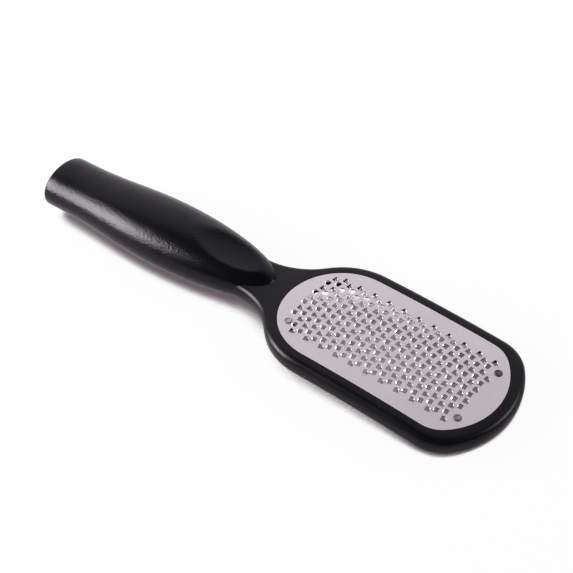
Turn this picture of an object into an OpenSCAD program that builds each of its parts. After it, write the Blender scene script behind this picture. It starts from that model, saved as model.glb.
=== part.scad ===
/* [Rasp plate] */
// Length of the plate along the tool
plate_l = 107.5; // [100:0.1:116]
// Width of the plate
plate_w = 55.4; // [51:0.1:61]
// Sheet thickness
sheet_t = 0.5; // [0.4:0.05:0.8]
// Radius of the blunt tip end
tip_r = 33.5; // [30:0.5:38]
// Radius of the two tip corners
corner_r = 14; // [11:0.5:18]
// Radius of the bow along the tool
bow_r = 815; // [600:5:1200]

/* [Teeth] */
// Spacing of the columns, and of the holes in a column
tooth_pitch = 3.9; // [3.7:0.05:4.6]
// Hole size along the tool
hole_l = 1.75; // [1.4:0.05:1.9]
// Hole size across the tool
hole_w = 2.65; // [2.6:0.05:3]
// Height of a hood over the sheet
hood_h = 1; // [0.8:0.05:1.2]
// Half the width of a hood at the sheet
hood_r = 1.25; // [1.15:0.05:1.3]
// Metal left in a hood
hood_t = 0.35; // [0.25:0.05:0.45]
// How far a hood's dome stands over the edge of its hole
hood_back = 0.2; // [0.1:0.05:0.3]
// Radius that the columns are bowed to
column_r = 85; // [70:1:140]
// Bare sheet at the handle end
heel_margin = 9.5; // [8:0.1:12]
// Least bare sheet at the tip
tip_margin = 12; // [10:0.1:14]
// Least bare sheet along each side
side_margin = 8; // [6:0.1:10]

/* [Studs] */
// Radius of a flattened stud head
head_r = 1.8; // [1.6:0.05:2.2]
// Height of a stud head over the sheet
head_h = 0.45; // [0.3:0.05:0.7]
// Radius of the dish in a stud head
dish_r = 1.1; // [0.8:0.05:1.3]
// Radius of the stud in its hole
stud_r = 1.2; // [1:0.05:1.4]
// Depth of the dish in a stud head
dish_d = 0.2; // [0.05:0.05:0.25]
// Distance of the tip studs from the plate's edge
tip_stud_in = 3.7; // [3.2:0.1:5]
// Angle of the tip studs round the tip corners
tip_stud_a = 9.5; // [0:0.5:30]
// Distance of the heel stud from the plate's edge
heel_stud_in = 4.8; // [4:0.1:6]
// Angle of the heel stud round the heel
heel_stud_a = 223; // [200:1:240]
// Sheet kept free of teeth around a stud head
stud_free = 1.4; // [1:0.1:1.8]
// Radius of the lug under a stud
lug_r = 2.8; // [2.4:0.1:3.4]
// Thickness of a lug
lug_t = 3; // [2:0.1:5]

/* [Frame] */
// Width of the rim along the sides and round the heel
rim_w = 6; // [4.5:0.1:7]
// Width of the rim at the middle of the tip
tip_rim_w = 6.4; // [5:0.1:7.5]
// Radius of the rim's blunt tip end
rim_tip_r = 43; // [38:0.5:50]
// Radius of the rim's two tip corners
rim_corner_r = 18.5; // [16:0.5:23]
// Thickness of the rim and neck
rim_t = 8.7; // [7.6:0.1:10]
// Rounding of the rim's edges
edge_r = 3.2; // [1.5:0.1:3.6]
// Dark gap around the plate
plate_gap = 0.4; // [0.2:0.05:0.7]
// Running gap under the plate and the stud heads
seat_gap = 0.03; // [0.02:0.01:0.1]
// Ledge that the plate lies on
ledge_w = 1.3; // [1:0.1:2.5]
// Width of the neck
neck_w = 23.6; // [20:0.1:26]
// Radius of the neck's side fillets
neck_r = 33.5; // [26:0.5:40]
// Straight drop of the neck starts this far behind the heel's centre
straight_x = 24.7; // [20:0.1:30]

/* [Grip] */
// Gap between the heel of the plate and the grip's nose
nose_gap = 8.2; // [6:0.1:14]
// Length of the grip
grip_l = 133; // [122:0.1:150]
// Width at the belly
belly_w = 36.4; // [33:0.1:40]
// Height at the belly
belly_h = 26.8; // [24:0.1:29]
// Distance of the belly from the nose
belly_x = 65.5; // [60:0.1:72]
// Length of the taper behind the belly
taper_l = 56.5; // [50:0.1:62]
// Width at the butt
butt_w = 29.8; // [26:0.1:34]
// Height at the butt
butt_h = 22; // [18:0.1:24]
// Rounding of the butt's edge
butt_r = 0.8; // [0.4:0.1:2]
// Depth of the grip's axis under the neck's top face
axis_d = 3.3; // [2.6:0.1:4]
// Fullness of the nose seen from above, lower is fuller
side_round = 0.48; // [0.35:0.01:0.55]
// Fullness of the nose's top, seen from the side
top_round = 0.46; // [0.35:0.01:0.55]
// Fullness of the nose's underside, seen from the side
low_round = 0.34; // [0.3:0.01:0.55]

/* [Thumb recess] */
// Distance of the recess from the nose
recess_x = 27.1; // [24:0.1:32]
// Length of the recess
recess_l = 36.4; // [30:0.1:40]
// Width of the recess
recess_w = 16.2; // [12:0.1:19]
// Depth of the recess under the crown
recess_d = 2.6; // [1.5:0.1:3.5]
// Softness of the recess's edge
recess_soft = 0.5; // [0.2:0.1:1]

/* [Tang] */
// Length of the neck inside the grip, from the nose
neck_in = 19.5; // [17:0.5:24]
// Length of the tang past the neck
tang_l = 62; // [40:1:70]
// Width of the tang
tang_w = 15; // [10:0.5:17]
// Thickness of the tang
tang_t = 5; // [3:0.1:6]
// Clearance around the tang in the grip
tang_gap = 0.1; // [0.05:0.05:0.3]

/* [Hidden] */

// The plate's outline: a half circle at the heel, a blunt arc with two corners at the tip
half_w = plate_w / 2;
cols = floor((plate_l - heel_margin - tip_margin) / tooth_pitch) + 1;
rows = floor((plate_w - 2 * side_margin) / tooth_pitch) + 1;
plate_x = -(cols - 1) / 2 * tooth_pitch - heel_margin;
heel_x = plate_x + half_w;
tip_end = plate_x + plate_l;

// A blunt tip: the centre and radius of its arc, then the centre and radius of its corner
function blunt(reach, half, r, corner) =
    let (x = reach - r, y = half - corner)
    [x, r, x + sqrt(pow(r - corner, 2) - y * y), y, corner];
plate_tip = blunt(tip_end, half_w, tip_r, corner_r);
rim_tip = blunt(tip_end + tip_rim_w, half_w + rim_w, rim_tip_r, rim_corner_r);
tip_x = plate_tip[0];
corner_x = plate_tip[2];
corner_y = plate_tip[3];

// The neck's fillets touch the heel circle and the neck's straight sides
fillet_y = neck_w / 2 + neck_r;
fillet_x = heel_x - sqrt(pow(half_w + rim_w + neck_r, 2) - fillet_y * fillet_y);
fillet_a = atan2(fillet_y, fillet_x - heel_x);
nose_x = plate_x - nose_gap;
neck_end = nose_x - neck_in;

// The tool is bowed along its length, then runs straight down the neck and grip
bend_x = heel_x - straight_x;
bend_a = bend_x / bow_r * 180 / PI;
function bowed(x, y, d) =
    let (a = max(x, bend_x) / bow_r * 180 / PI, run = min(x - bend_x, 0))
    [(bow_r - d) * sin(a) + run * cos(a), y, (bow_r - d) * cos(a) - bow_r - run * sin(a)];

module on_surface(x, y) {
    a = x / bow_r * 180 / PI;
    translate([bow_r * sin(a), y, bow_r * cos(a) - bow_r]) rotate([0, a, 0]) children();
}

module on_neck() {
    translate(bowed(bend_x, 0, 0)) rotate([0, bend_a, 0]) translate([-bend_x, 0, 0]) children();
}

// A slab between two depths, bowed in flat strips two columns of teeth long
strips = ceil(plate_l / (2 * tooth_pitch));
module bowed_slab(from, to) {
    xs = [for (i = [-1 : strips + 1]) plate_x + plate_l * i / strips];
    top = [for (x = xs) let (p = bowed(x, 0, from)) [p.x, p.z]];
    low = [for (i = [len(xs) - 1 : -1 : 0]) let (p = bowed(xs[i], 0, to)) [p.x, p.z]];
    translate([0, plate_w, 0])
        rotate([90, 0, 0])
            linear_extrude(2 * plate_w) polygon(concat(top, low));
}

// Arcs of the outline, from the tip round to the heel, grown outwards by grow
function arc(x, y, r, from, to, n) =
    [for (i = [0 : n]) let (a = from + (to - from) * i / n) [x + r * cos(a), y + r * sin(a)]];
function tail(list) = [for (i = [1 : len(list) - 1]) list[i]];
function mirrored(half) =
    concat(half, [for (i = [len(half) - 1 : -1 : 0]) if (half[i].y > 0) [half[i].x, -half[i].y]]);
function tip_arcs(tip, grow) =
    let (a = atan2(tip[3], tip[2] - tip[0]))
    concat(arc(tip[0], 0, tip[1] + grow, 0, a, 12), tail(arc(tip[2], tip[3], tip[4] + grow, a, 90, 10)));

module plate_outline(grow) {
    polygon(mirrored(concat(tip_arcs(plate_tip, grow), arc(heel_x, 0, half_w + grow, 90, 180, 20))));
}

// Half of the rim-and-neck outline, from the tip round to the neck's end, drawn in by inset
function half_outline(inset) =
    let (w = half_w + rim_w - inset, side_n = 12, neck_n = 3, neck_y = neck_w / 2 - inset)
    concat(
        tip_arcs(rim_tip, -inset),
        [for (i = [1 : side_n]) [rim_tip[2] + (heel_x - rim_tip[2]) * i / side_n, w]],
        tail(arc(heel_x, 0, w, 90, fillet_a, 10)),
        tail(arc(fillet_x, fillet_y, neck_r + inset, fillet_a - 180, -90, 10)),
        [for (i = [1 : neck_n]) [fillet_x + (neck_end + inset - fillet_x) * i / neck_n, neck_y]]
    );

// Inset and depth of each ring of the rim, down its rounded outer side
round_n = 5;
rim_rings = concat(
    [for (i = [0 : round_n]) let (a = 90 * i / round_n) [edge_r * (1 - sin(a)), edge_r * (1 - cos(a))]],
    [for (i = [0 : round_n]) let (a = 90 * i / round_n)
        [edge_r * (1 - cos(a)), rim_t - edge_r * (1 - sin(a))]]
);
function rim_ring(level) =
    let (half = half_outline(rim_rings[level][0]), depth = rim_rings[level][1], n = len(half))
    concat(
        [for (p = half) bowed(p.x, p.y, depth)],
        [for (i = [n - 1 : -1 : 1]) bowed(half[i].x, -half[i].y, depth)]
    );

module rim_body() {
    levels = len(rim_rings);
    half_n = len(half_outline(0));
    n = 2 * half_n - 1;
    points = [for (level = [0 : levels - 1]) each rim_ring(level)];
    sides = [for (level = [0 : levels - 2]) for (i = [0 : n - 1])
        let (a = level * n + i, b = level * n + (i + 1) % n)
        each [[a, b, b + n], [a, b + n, a + n]]];
    // Flat strips across the tool close the top and the bottom
    strips = [for (i = [1 : half_n - 2]) [i, n - i, n - i - 1, i + 1]];
    top = concat([[0, n - 1, 1]], strips);
    last = (levels - 1) * n;
    bottom = [for (f = top) [for (i = [len(f) - 1 : -1 : 0]) last + f[i]]];
    polyhedron(points, concat(sides, top, bottom), convexity = 6);
}

// Places of the three studs
stud_spots = [
    for (side = [-1, 1])
        [corner_x + (corner_r - tip_stud_in) * cos(tip_stud_a),
         side * (corner_y + (corner_r - tip_stud_in) * sin(tip_stud_a)), side * tip_stud_a],
    [heel_x + (half_w - heel_stud_in) * cos(heel_stud_a),
     (half_w - heel_stud_in) * sin(heel_stud_a), heel_stud_a]
];

// A moulded stud, pressed flat over the plate with a dished end
module stud() {
    foot = -sheet_t - lug_t / 2;
    bevel = head_h / 2;
    rotate_extrude($fn = 48)
        polygon([
            [0, foot], [stud_r, foot], [stud_r, seat_gap], [head_r, seat_gap],
            [head_r, head_h - bevel], [head_r - bevel, head_h], [dish_r, head_h],
            [dish_r - dish_d, head_h - dish_d], [0, head_h - dish_d]
        ]);
}

module lug() {
    translate([0, 0, -sheet_t - seat_gap - lug_t]) {
        cylinder(r = lug_r, h = lug_t, $fn = 48);
        translate([0, -lug_r, 0]) cube([heel_stud_in, 2 * lug_r, lug_t]);
    }
}

module tang(grow) {
    l = tang_l + grow;
    w = tang_w / 2 + grow;
    on_neck()
        translate([neck_end - l, 0, -axis_d - tang_t / 2 - grow])
            linear_extrude(tang_t + 2 * grow)
                polygon([[0, -w / 2], [0, w / 2], [w, w], [l + edge_r, w], [l + edge_r, -w], [w, -w]]);
}

module frame() {
    color([0.09, 0.085, 0.095]) {
        difference() {
            rim_body();
            // Seat of the plate
            intersection() {
                translate([0, 0, -rim_t]) linear_extrude(2 * rim_t) plate_outline(plate_gap);
                bowed_slab(-rim_t, sheet_t + seat_gap);
            }
            // Open window under the plate
            translate([0, 0, -2 * rim_t]) linear_extrude(3 * rim_t) plate_outline(-ledge_w);
        }
        for (s = stud_spots)
            on_surface(s.x, s.y) {
                stud();
                rotate([0, 0, s[2]]) lug();
            }
        tang(0);
    }
}

// Grip: oval sections along an axis that runs straight back from the nose
function swell(s, belly, butt, round) =
    let (u = min((s - belly_x) / taper_l, 1))
    s < belly_x
        ? belly / 2 * pow(1 - pow(1 - s / belly_x, 2), round)
        : butt / 2 + (belly - butt) / 2 * (1 + cos(180 * u)) / 2;
function grip_w(s) = swell(s, belly_w, butt_w, side_round);
function grip_h(s) = swell(s, belly_h, butt_h, top_round);
function grip_low(s) = swell(s, belly_h, butt_h, low_round);

// The recess is a dish hung between two points of the crown line
recess_from = grip_h(recess_x - recess_l / 2);
recess_to = grip_h(recess_x + recess_l / 2);
recess_mid = (recess_from + recess_to) / 2;
recess_floor = grip_h(recess_x) - recess_d;
recess_side = grip_h(recess_x) * sqrt(1 - pow(recess_w / 2 / grip_w(recess_x), 2));
function dish_z(s, y) =
    let (u = (s - recess_x) / (recess_l / 2), v = y / (recess_w / 2))
    recess_mid + u * (recess_to - recess_from) / 2 - (recess_mid - recess_floor) * (1 - u * u)
        + (recess_side - recess_floor) * v * v;
function soft_min(a, b) =
    let (h = max(recess_soft - abs(a - b), 0) / recess_soft)
    min(a, b) - h * h * recess_soft / 4;

nose_n = 40;
taper_n = 16;
butt_n = 3;
top_n = 40;
low_n = 20;
grip_stations = concat(
    [for (i = [1 : nose_n]) [belly_x * (1 - cos(90 * i / nose_n)), 0]],
    [for (i = [1 : taper_n]) [belly_x + (grip_l - butt_r - belly_x) * i / taper_n, 0]],
    [for (i = [1 : butt_n]) let (a = 90 * i / butt_n)
        [grip_l - butt_r * (1 - sin(a)), butt_r * (1 - cos(a))]]
);
function grip_point(s, inset, a) =
    let (
        h = sin(a) > 0 ? grip_h(s) : grip_low(s),
        y = (grip_w(s) - inset) * cos(a),
        z = (h - inset) * sin(a)
    )
    bowed(nose_x - s, y, axis_d - (sin(a) > 0 && s < belly_x ? soft_min(z, dish_z(s, y)) : z));
section_angles = concat(
    [for (i = [0 : top_n - 1]) 180 * i / top_n],
    [for (i = [0 : low_n - 1]) 180 + 180 * i / low_n]
);

module grip_body() {
    n = len(section_angles);
    m = len(grip_stations);
    points = concat(
        [bowed(nose_x, 0, axis_d)],
        [for (st = grip_stations) for (a = section_angles) grip_point(st[0], st[1], a)]
    );
    nose = [for (i = [0 : n - 1]) [0, 1 + (i + 1) % n, 1 + i]];
    sides = [for (k = [0 : m - 2]) for (i = [0 : n - 1])
        let (a = 1 + k * n + i, b = 1 + k * n + (i + 1) % n)
        each [[a, b, b + n], [a, b + n, a + n]]];
    butt = [[for (i = [n - 1 : -1 : 0]) 1 + (m - 1) * n + i]];
    polyhedron(points, concat(nose, sides, butt), convexity = 6);
}

module grip() {
    color([0.07, 0.065, 0.075]) difference() {
        grip_body();
        rim_body();
        tang(tang_gap);
    }
}

// Columns of teeth, every second one half a pitch across, each bowed towards the handle.
// Down a column the hoods stand at the tip side and at the heel side of their holes by turns.
dome_r = (hood_r * hood_r + hood_h * hood_h) / (2 * hood_h);
edge_free = 2.5;
hood_free = 0.1;
function tooth_x(i, y) = (i - (cols - 1) / 2) * tooth_pitch + y * y / (2 * column_r);
function tooth_turn(j, y) = (j % 4 < 2 ? 0 : 180) - atan(y / column_r);
function stud_distance(x, y) = min([for (s = stud_spots) norm([x - s.x, y - s.y])]);
function inside_plate(x, y) =
    (x < tip_x || norm([x - tip_x, y]) < tip_r - edge_free)
    && (x > heel_x || norm([x - heel_x, y]) < half_w - edge_free)
    && (x < corner_x || abs(y) < corner_y
        || norm([x - corner_x, abs(y) - corner_y]) < corner_r - edge_free);
function tooth_fits(x, y, turn) =
    let (dome_x = hole_l / 2 - hood_back)
    inside_plate(x, y)
    && stud_distance(x, y) > head_r + stud_free
    && stud_distance(x + dome_x * cos(turn), y + dome_x * sin(turn)) > head_r + hood_r + hood_free;
teeth = [
    for (i = [0 : cols - 1])
        for (j = [(i + 1) % 2 : 2 : 2 * rows - 2])
            let (y = (rows - 1 - j) / 2 * tooth_pitch, x = tooth_x(i, y), turn = tooth_turn(j, y))
            if (tooth_fits(x, y, turn)) [x, y, turn]
];

module at_teeth() {
    for (t = teeth) on_surface(t.x, t.y) rotate([0, 0, t[2]]) children();
}

// The dome that a hood is part of, with its poles along the tooth
module dome(r) {
    translate([hole_l / 2 - hood_back, 0, hood_h - dome_r]) rotate([0, 90, 0]) sphere(r = r, $fn = 20);
}

module rasp_plate() {
    deep = 4 * sheet_t;
    color([0.78, 0.76, 0.77]) difference() {
        union() {
            intersection() {
                translate([0, 0, -rim_t]) linear_extrude(2 * rim_t) plate_outline(0);
                bowed_slab(0, deep);
            }
            at_teeth() dome(dome_r);
        }
        bowed_slab(sheet_t, 2 * deep);
        at_teeth() translate([-hole_l / 2, -hole_w / 2, -2 * deep]) cube([hole_l, hole_w, 3 * deep]);
        at_teeth() dome(dome_r - hood_t);
        for (s = stud_spots)
            on_surface(s.x, s.y)
                translate([0, 0, -deep]) cylinder(r = stud_r + seat_gap, h = 2 * deep, $fn = 48);
    }
}

// At rest the tip of the rim and the grip's belly touch the floor
tip_profile = [for (ring = rim_rings) bowed(tip_end + tip_rim_w - ring[0], 0, ring[1])];
grip_profile = [for (st = grip_stations) bowed(nose_x - st[0], 0, axis_d + grip_low(st[0]) - st[1])];
butt_top = bowed(nose_x - grip_l, 0, axis_d - grip_h(grip_l) + butt_r);
function lowest(profile, tilt) = min([for (p = profile) p.z * cos(tilt) - p.x * sin(tilt)]);
function level_tilt(low, high, steps = 40) =
    let (mid = (low + high) / 2)
    steps == 0 ? mid :
    lowest(tip_profile, mid) > lowest(grip_profile, mid)
        ? level_tilt(mid, high, steps - 1)
        : level_tilt(low, mid, steps - 1);
rest_tilt = level_tilt(-10, 20);
rest_low = lowest(grip_profile, rest_tilt);
rest_points = concat(tip_profile, grip_profile, [butt_top]);
rest_reach = [for (p = rest_points) p.x * cos(rest_tilt) + p.z * sin(rest_tilt)];
rest_mid = (min(rest_reach) + max(rest_reach)) / 2;

module at_rest() {
    translate([-rest_mid, 0, -rest_low]) rotate([0, rest_tilt, 0]) children();
}

at_rest() frame();
at_rest() grip();
at_rest() rasp_plate();
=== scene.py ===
# Foot rasp: materials, smooth shading, floor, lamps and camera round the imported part.
import math

import bpy
from mathutils import Matrix, Vector

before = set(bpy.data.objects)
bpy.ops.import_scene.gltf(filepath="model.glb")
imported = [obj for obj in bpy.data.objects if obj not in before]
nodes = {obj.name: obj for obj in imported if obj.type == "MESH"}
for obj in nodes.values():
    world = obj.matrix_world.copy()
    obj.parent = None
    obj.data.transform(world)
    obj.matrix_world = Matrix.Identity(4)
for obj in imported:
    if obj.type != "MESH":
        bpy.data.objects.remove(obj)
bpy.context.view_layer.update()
print("frame loaded")


# Helpers for node trees

def setInputs(tree, node, inputs):
    # an input that is given a socket is linked to it, any other value is set
    for key, value in inputs.items():
        if isinstance(value, bpy.types.NodeSocket):
            tree.links.new(value, node.inputs[key])
        else:
            node.inputs[key].default_value = value


def addNode(tree, kind, at, inputs=None, **values):
    node = tree.nodes.new(kind)
    node.location = at
    for name, value in values.items():
        setattr(node, name, value)
    setInputs(tree, node, inputs or {})
    return node


def calc(tree, at, operation, first, second):
    return addNode(tree, "ShaderNodeMath", at, {0: first, 1: second}, operation=operation).outputs[0]


def mapRange(tree, at, value, start, end, low=0, high=1, **values):
    limits = {"Value": value, "From Min": start, "From Max": end, "To Min": low, "To Max": high}
    return addNode(tree, "ShaderNodeMapRange", at, limits, **values).outputs[0]


def mix(tree, at, share, first, second, dataType="RGBA"):
    ends = {"Factor": share, "A": first, "B": second}
    return addNode(tree, "ShaderNodeMix", at, ends, data_type=dataType).outputs["Result"]


def newGroup(name, inputs, outputs):
    # inputs gives each input's name and default, and every socket is a single number
    tree = bpy.data.node_groups.new(name, "ShaderNodeTree")
    for label, default in inputs.items():
        socket = tree.interface.new_socket(name=label, in_out="INPUT", socket_type="NodeSocketFloat")
        socket.default_value = default
    for label in outputs:
        tree.interface.new_socket(name=label, in_out="OUTPUT", socket_type="NodeSocketFloat")
    return tree, addNode(tree, "NodeGroupInput", (-1100, 0)), addNode(tree, "NodeGroupOutput", (500, 0))


def newMaterial(name):
    material = bpy.data.materials.new(name)
    material.use_nodes = True
    tree = material.node_tree
    tree.nodes.clear()
    return material, tree


def setSurface(tree, shader):
    addNode(tree, "ShaderNodeOutputMaterial", (600, 0), {"Surface": shader.outputs[0]})


def dress(obj, material):
    obj.data.materials.clear()
    obj.data.materials.append(material)


# Effects that the materials share

noiseRange = (0.3, 0.7)  # where most of a noise texture's values lie

mouldedLook = {"cellSoftness": 0.6, "fineDetail": 3, "driftDetail": 4}
brushedLook = {"streakDetail": 3, "cloudScale": 45, "cloudDetail": 2}


def makeMouldedGrain():
    # leather-like cells as a height, and a slow drift as a mask
    sizes = {"Cell Size": 0.0008, "Drift Size": 0.012}
    tree, given, out = newGroup("mouldedGrain", sizes, ["Height", "Drift"])
    place = addNode(tree, "ShaderNodeTexCoord", (-900, 300)).outputs["Object"]
    cellScale = calc(tree, (-700, 100), "DIVIDE", 1, given.outputs["Cell Size"])
    cells = addNode(tree, "ShaderNodeTexVoronoi", (-500, 300), {
        "Vector": place,
        "Scale": cellScale,
        "Smoothness": mouldedLook["cellSoftness"],
    }, feature="SMOOTH_F1")
    fine = addNode(tree, "ShaderNodeTexNoise", (-500, 0), {
        "Vector": place, "Scale": cellScale, "Detail": mouldedLook["fineDetail"]})
    driftScale = calc(tree, (-700, -250), "DIVIDE", 1, given.outputs["Drift Size"])
    drift = addNode(tree, "ShaderNodeTexNoise", (-500, -250), {
        "Vector": place, "Scale": driftScale, "Detail": mouldedLook["driftDetail"]})
    height = calc(tree, (-250, 200), "ADD", cells.outputs["Distance"], fine.outputs["Fac"])
    setInputs(tree, out, {"Height": height, "Drift": drift.outputs["Fac"]})
    return tree


def makeBrushing():
    # rolled scratches along the plate as a height and a mask, and soft clouds as a mask
    sizes = {"Line Width": 0.00012, "Line Length": 0.012}
    tree, given, out = newGroup("brushing", sizes, ["Streaks", "Clouds"])
    place = addNode(tree, "ShaderNodeTexCoord", (-1100, 300)).outputs["Object"]
    across = calc(tree, (-900, 100), "DIVIDE", 1, given.outputs["Line Width"])
    along = calc(tree, (-900, -100), "DIVIDE", 1, given.outputs["Line Length"])
    scales = addNode(tree, "ShaderNodeCombineXYZ", (-700, 0), {"X": along, "Y": across, "Z": along})
    stretched = addNode(tree, "ShaderNodeVectorMath", (-500, 200), {
        0: place, 1: scales.outputs[0]}, operation="MULTIPLY")
    streaks = addNode(tree, "ShaderNodeTexNoise", (-300, 200), {
        "Vector": stretched.outputs[0], "Scale": 1, "Detail": brushedLook["streakDetail"]})
    clouds = addNode(tree, "ShaderNodeTexNoise", (-300, -150), {
        "Vector": place, "Scale": brushedLook["cloudScale"], "Detail": brushedLook["cloudDetail"]})
    setInputs(tree, out, {"Streaks": streaks.outputs["Fac"], "Clouds": clouds.outputs["Fac"]})
    return tree


mouldedGrain = makeMouldedGrain()
brushing = makeBrushing()
print("shared effects built")


# Moulded black plastic of the frame and the grip

framePlastic = {
    "colour": (0.0012, 0.0010, 0.0016, 1),
    "colourWorn": (0.0024, 0.0021, 0.0032, 1),
    "roughLow": 0.29,
    "roughHigh": 0.35,
    "specular": 0.20,
    "grainSize": 0.00035,
    "grainDepth": 0.000012,
    "driftSize": 0.014,
}
gripPlastic = {
    "colour": (0.0012, 0.0010, 0.0015, 1),
    "colourWorn": (0.0024, 0.0021, 0.0030, 1),
    "roughLow": 0.20,
    "roughHigh": 0.26,
    "specular": 0.19,
    "grainSize": 0.0009,
    "grainDepth": 0.00008,
    "driftSize": 0.018,
}
studHeadsAndSheen = {
    # pressed flat while hot, so they are duller than the frame; their grey is partly that duller surface
    # and partly a painted sheen
    "colour": (0.42, 0.40, 0.42, 1),
    "rough": 0.45,
    "reach": 0.0019,
    "ringInner": 0.000975,
    "ringOuter": 0.0013,
    "ringSheen": 0.6,
    # each head's middle, and how bright its painted sheen is: a painted reflection, lighter on the heel
    # head than on the tip heads
    "sheenSpots": [
        ((0.0250, -0.0156, 0.0161), 0.95),
        ((0.1118, -0.0154, 0.0102), 0.60),
        ((0.1118, 0.0154, 0.0102), 0.22),
    ],
}


def studSheenMask(tree, look):
    # one disc a stud, with a painted sheen that is paler in its dish than on its darker ring
    place = addNode(tree, "ShaderNodeTexCoord", (-1900, 900)).outputs["Object"]
    total = 0
    for k, (spot, sheenLevel) in enumerate(look["sheenSpots"]):
        y = 900 - 300 * k
        far = addNode(tree, "ShaderNodeVectorMath", (-1700, y), {
            0: place, 1: spot}, operation="DISTANCE").outputs["Value"]
        grey = mapRange(
            tree, (-1500, y), far, look["ringInner"], look["ringOuter"], sheenLevel, sheenLevel * look["ringSheen"])
        disc = calc(tree, (-1500, y - 120), "LESS_THAN", far, look["reach"])
        share = calc(tree, (-1300, y), "MULTIPLY", grey, disc)
        total = calc(tree, (-1100, y), "MAXIMUM", total, share)
    return total


def mouldedPlastic(name, look, heads=None):
    material, tree = newMaterial(name)
    grain = addNode(tree, "ShaderNodeGroup", (-700, 0), {
        "Cell Size": look["grainSize"], "Drift Size": look["driftSize"]}, node_tree=mouldedGrain)
    drift = grain.outputs["Drift"]
    paint = mix(tree, (-300, 200), drift, look["colour"], look["colourWorn"])
    rough = mapRange(tree, (-300, -50), drift, *noiseRange, look["roughLow"], look["roughHigh"])
    bump = addNode(tree, "ShaderNodeBump", (-300, -350), {
        "Distance": look["grainDepth"], "Height": grain.outputs["Height"]})
    if heads:
        # the stud heads get their grey and their painted sheen here
        mask = studSheenMask(tree, heads)
        paint = mix(tree, (-50, 350), mask, paint, heads["colour"])
        rough = mix(tree, (-50, 100), mask, rough, heads["rough"], "FLOAT")
    setSurface(tree, addNode(tree, "ShaderNodeBsdfPrincipled", (200, 0), {
        "Base Color": paint,
        "Roughness": rough,
        "Specular IOR Level": look["specular"],
        "Normal": bump.outputs[0],
    }))
    return material


dress(nodes["frame"], mouldedPlastic("blackFramePlastic", framePlastic, studHeadsAndSheen))
dress(nodes["grip"], mouldedPlastic("blackGripPlastic", gripPlastic))
print("plastic done")


# Stainless steel of the rasp plate

plateSteel = {
    "colour": (0.745, 0.70, 0.725, 1),
    "colourDull": (0.665, 0.622, 0.645, 1),
    "roughLow": 0.33,
    "roughHigh": 0.44,
    "lineWidth": 0.00012,
    "lineLength": 0.010,
    "lineDepth": 0.000004,
    "edgeWidth": 0.0004,
    "edgeSamples": 4,
    # colour of the painted highlight along the cut edges
    "edgeHighlight": (0.88, 0.84, 0.87, 1),
    # how far a rounded edge's normal leans from the face's own, as a cosine
    "edgeStart": 0.995,
    "edgeFull": 0.92,
}


# mask of the rounded cut edges, where the painted highlight goes
def edgeHighlightMask(tree, look):
    rounded = addNode(tree, "ShaderNodeBevel", (-900, 600), {
        "Radius": look["edgeWidth"]}, samples=look["edgeSamples"])
    surface = addNode(tree, "ShaderNodeNewGeometry", (-900, 450))
    lean = addNode(tree, "ShaderNodeVectorMath", (-700, 600), {
        0: rounded.outputs[0], 1: surface.outputs["Normal"]}, operation="DOT_PRODUCT")
    return mapRange(tree, (-500, 600), lean.outputs["Value"], look["edgeStart"], look["edgeFull"])


def brushedSteel(name, look):
    material, tree = newMaterial(name)
    lines = addNode(tree, "ShaderNodeGroup", (-700, 0), {
        "Line Width": look["lineWidth"], "Line Length": look["lineLength"]}, node_tree=brushing)
    streaks = lines.outputs["Streaks"]
    paint = mix(tree, (-300, 200), lines.outputs["Clouds"], look["colour"], look["colourDull"])
    rough = mapRange(tree, (-300, -50), streaks, *noiseRange, look["roughLow"], look["roughHigh"])
    bump = addNode(tree, "ShaderNodeBump", (-300, -350), {
        "Distance": look["lineDepth"], "Height": streaks})
    # painted highlight: the cut edges are painted brighter, as where they catch the light
    paint = mix(tree, (-100, 350), edgeHighlightMask(tree, look), paint, look["edgeHighlight"])
    setSurface(tree, addNode(tree, "ShaderNodeBsdfPrincipled", (200, 0), {
        "Base Color": paint,
        "Metallic": 1,
        "Roughness": rough,
        "Normal": bump.outputs[0],
    }))
    return material


dress(nodes["rasp_plate"], brushedSteel("brushedPlateSteel", plateSteel))
print("steel done")


# Smooth shading of the moulded skins

smoothing = {"nodes": ("frame", "grip"), "weld": 0.00001, "sharpAngle": 32}


def makeSmoother():
    # welds the imported corners and shades smooth except across edges sharper than the angle
    tree = bpy.data.node_groups.new("smoothSkin", "GeometryNodeTree")
    tree.interface.new_socket(name="Geometry", in_out="INPUT", socket_type="NodeSocketGeometry")
    tree.interface.new_socket(name="Geometry", in_out="OUTPUT", socket_type="NodeSocketGeometry")
    given = addNode(tree, "NodeGroupInput", (-800, 0))
    bare = addNode(tree, "GeometryNodeRemoveAttribute", (-600, 0), {
        "Geometry": given.outputs[0], "Name": "custom_normal"})
    weld = addNode(tree, "GeometryNodeMergeByDistance", (-400, 0), {
        "Geometry": bare.outputs[0], "Distance": smoothing["weld"]})
    angle = addNode(tree, "GeometryNodeInputMeshEdgeAngle", (-400, -250))
    gentle = addNode(tree, "FunctionNodeCompare", (-200, -250), {
        "A": angle.outputs["Unsigned Angle"],
        "B": math.radians(smoothing["sharpAngle"]),
    }, data_type="FLOAT", operation="LESS_EQUAL")
    faces = addNode(tree, "GeometryNodeSetShadeSmooth", (-100, 0), {
        "Geometry": weld.outputs[0]}, domain="FACE")
    edges = addNode(tree, "GeometryNodeSetShadeSmooth", (200, 0), {
        "Geometry": faces.outputs[0], "Shade Smooth": gentle.outputs[0]}, domain="EDGE")
    addNode(tree, "NodeGroupOutput", (500, 0), {0: edges.outputs[0]})
    return tree


smoother = makeSmoother()
for name in smoothing["nodes"]:
    nodes[name].modifiers.new("smoothSkin", "NODES").node_group = smoother
print("smooth shading set")


# Floor, room, lamps and camera

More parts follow.
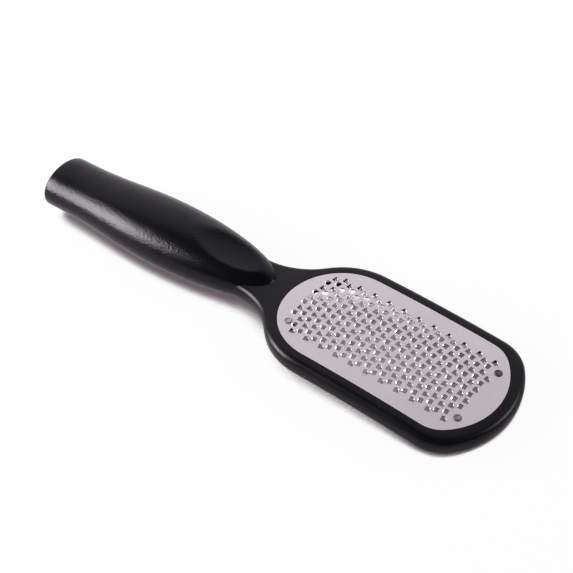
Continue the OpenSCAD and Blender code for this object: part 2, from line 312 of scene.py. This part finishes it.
floorLook = {
    "size": 4.0,
    "colour": (0.8, 0.8, 0.8, 1),
    # how much of the plain white shows to the camera and in reflections
    "whiteSeen": 0.95,
    "whiteInGloss": 0.3,
    "glossTint": (1.0, 0.90, 0.99, 1),
    # the shadow close to the part: its reach, the openness it fades over, its level and its tint
    "shadowReach": 0.035,
    "shadowSamples": 16,
    "shadowFrom": 0.33,
    "shadowTo": 0.46,
    "shadowLevel": 0.12,
    "shadowTint": (0.98, 0.80, 0.90, 1),
}
white = (1, 1, 1, 1)


def floorMaterial(look):
    material, tree = newMaterial("paleFloor")
    rays = addNode(tree, "ShaderNodeLightPath", (-1100, 300))
    openness = addNode(tree, "ShaderNodeAmbientOcclusion", (-900, -100), {
        "Distance": look["shadowReach"]}, samples=look["shadowSamples"])
    level = mapRange(
        tree, (-700, -100), openness.outputs["AO"], look["shadowFrom"], look["shadowTo"],
        look["shadowLevel"], interpolation_type="SMOOTHSTEP")
    openTint = mix(tree, (-700, -450), rays.outputs["Is Glossy Ray"], white, look["glossTint"])
    tint = mix(tree, (-450, -350), level, look["shadowTint"], openTint)
    glow = addNode(tree, "ShaderNodeEmission", (-200, -100), {"Color": tint, "Strength": level})
    paint = addNode(tree, "ShaderNodeBsdfDiffuse", (-200, 100), {"Color": look["colour"]})
    inGloss = calc(
        tree, (-650, 200), "MAXIMUM", rays.outputs["Is Glossy Ray"], rays.outputs["Is Transmission Ray"])
    glossShare = calc(tree, (-450, 200), "MULTIPLY", inGloss, look["whiteInGloss"])
    seenShare = calc(tree, (-450, 400), "MULTIPLY", rays.outputs["Is Camera Ray"], look["whiteSeen"])
    share = calc(tree, (-250, 300), "MAXIMUM", seenShare, glossShare)
    setSurface(tree, addNode(tree, "ShaderNodeMixShader", (200, 0), {
        0: share, 1: paint.outputs[0], 2: glow.outputs[0]}))
    return material


def makeFloor():
    half = floorLook["size"] / 2
    corners = [(-half, -half, 0), (half, -half, 0), (half, half, 0), (-half, half, 0)]
    mesh = bpy.data.meshes.new("floor")
    mesh.from_pydata(corners, [], [(0, 1, 2, 3)])
    floor = bpy.data.objects.new("floor", mesh)
    bpy.context.scene.collection.objects.link(floor)
    dress(floor, floorMaterial(floorLook))


room = {"colour": (0.94, 0.90, 1.0, 1), "strength": 0.15}


def makeWorld():
    # a dim room that the camera sees as white
    world = bpy.data.worlds.new("paleRoom")
    world.use_nodes = True
    tree = world.node_tree
    tree.nodes.clear()
    rays = addNode(tree, "ShaderNodeLightPath", (-300, 300))
    dim = addNode(tree, "ShaderNodeBackground", (0, 100), {
        "Color": room["colour"], "Strength": room["strength"]})
    seen = addNode(tree, "ShaderNodeBackground", (0, -100), {"Color": white})
    both = addNode(tree, "ShaderNodeMixShader", (200, 0), {
        0: rays.outputs["Is Camera Ray"], 1: dim.outputs[0], 2: seen.outputs[0]})
    addNode(tree, "ShaderNodeOutputWorld", (400, 0), {"Surface": both.outputs[0]})
    bpy.context.scene.world = world


lampTint = (1.0, 0.95, 0.99)
lamps = {
    # name: (place, aimed at, width, height, watts)
    "standingLeft": ((-0.737, -0.492, 0.38), (-0.06, 0, 0.02), 0.50, 0.47, 16.5),
    "backPanel": ((-0.60, 0.90, 0.72), (0.03, 0, 0.01), 2.4, 1.6, 9.2),
    "rightBack": ((0.70, 0.56, 0.46), (0.12, 0, 0.005), 0.36, 0.36, 3.6),
}


def makeLamps():
    for name, (place, aim, width, height, watts) in lamps.items():
        data = bpy.data.lights.new(name, "AREA")
        data.shape = "RECTANGLE"
        data.color = lampTint
        data.size = width
        data.size_y = height
        data.energy = watts
        lamp = bpy.data.objects.new(name, data)
        bpy.context.scene.collection.objects.link(lamp)
        lamp.visible_camera = False
        lamp.location = place
        lamp.rotation_mode = "QUATERNION"
        lamp.rotation_quaternion = (Vector(aim) - Vector(place)).to_track_quat("-Z", "Y")


camera = {
    "place": (0.311789, -0.345080, 0.433653),
    # degrees, taken from the head's own plane, which rests tilted by restTilt
    "azimuth": 38.245,
    "elevation": 44.718,
    "roll": 0.325,
    "restTilt": 3.77882,
    # millimetres
    "lens": 88.05,
    "sensor": 36,
    # metres, near and far
    "clip": (0.05, 20),
}


def makeCamera():
    azimuth = math.radians(camera["azimuth"])
    elevation = math.radians(camera["elevation"])
    flat = math.cos(elevation)
    right = Vector((math.cos(azimuth), math.sin(azimuth), 0))
    back = Vector((math.sin(azimuth) * flat, -math.cos(azimuth) * flat, math.sin(elevation)))
    tilt = Matrix.Rotation(math.radians(camera["restTilt"]), 3, "Y")
    right = tilt @ right
    back = tilt @ back
    right = Matrix.Rotation(math.radians(camera["roll"]), 3, back) @ right
    turn = Matrix((right, back.cross(right), back)).transposed().to_4x4()
    data = bpy.data.cameras.new("camera")
    data.sensor_width = camera["sensor"]
    data.lens = camera["lens"]
    data.clip_start, data.clip_end = camera["clip"]
    cam = bpy.data.objects.new("camera", data)
    bpy.context.scene.collection.objects.link(cam)
    cam.matrix_world = Matrix.Translation(camera["place"]) @ turn
    bpy.context.scene.camera = cam


makeFloor()
makeWorld()
makeLamps()
makeCamera()
bpy.context.scene.view_settings.view_transform = "Standard"
print("studio done")
